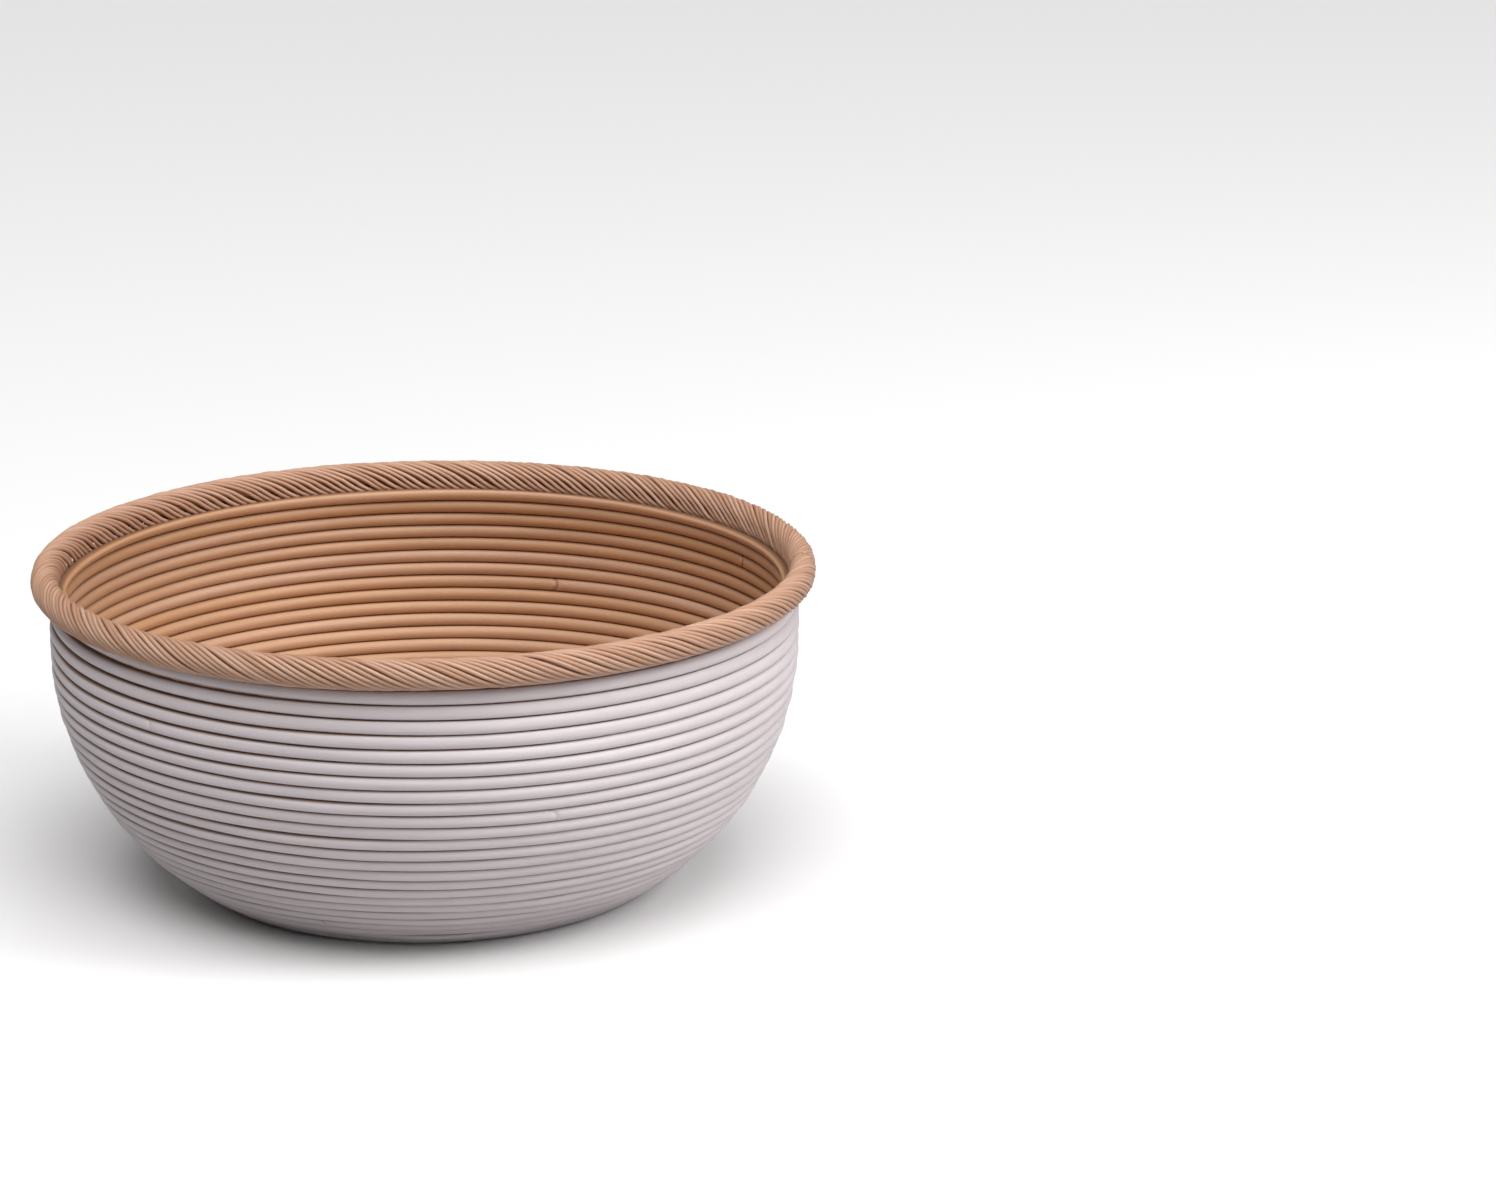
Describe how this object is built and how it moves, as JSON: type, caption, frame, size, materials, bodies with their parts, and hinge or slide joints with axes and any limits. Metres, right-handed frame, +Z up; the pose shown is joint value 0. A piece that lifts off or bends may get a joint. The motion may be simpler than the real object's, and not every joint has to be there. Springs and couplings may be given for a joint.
{
  "type": "coiled cane basket bowl",
  "caption": "Round coiled cane bowl basket, painted outside and bare inside, with a flat base, curved wall and a rope-laid rim.",
  "frame": {"origin": "the middle of the base, on the surface that the bowl stands on", "axes": "+Z up out of the mouth; +X and +Y lie in the base plane, and the coil's last turn runs out 175 degrees clockwise of +X, seen from above"},
  "size_m": [0.2994, 0.2994, 0.1276],
  "materials": {
    "painted_cane": "round cane, matt white limewash paint outside, bare honey cane inside",
    "border_reed": "bare split reed, satin",
    "bare_cane": "bare cane",
    "pin_steel": "bright headless wire pins"
  },
  "bodies": {
    "root": {"base_cane_1": "painted_cane", "base_cane_2": "painted_cane", "wall_cane_1": "painted_cane", "wall_cane_2": "painted_cane", "wall_cane_3": "painted_cane", "wall_cane_4": "painted_cane", "wall_cane_5": "painted_cane", "wall_cane_6": "painted_cane", "wall_cane_7": "painted_cane", "wall_cane_8": "painted_cane", "wall_cane_9": "painted_cane", "base_pins": "pin_steel", "wall_pins": "pin_steel", "splice_pins": "pin_steel", "rim_hoop": "bare_cane", "rope_ply_1": "border_reed", "rope_ply_2": "border_reed", "rope_ply_3": "border_reed", "rope_ply_4": "border_reed", "rim_pins": "pin_steel"}
  },
  "joints": []
}
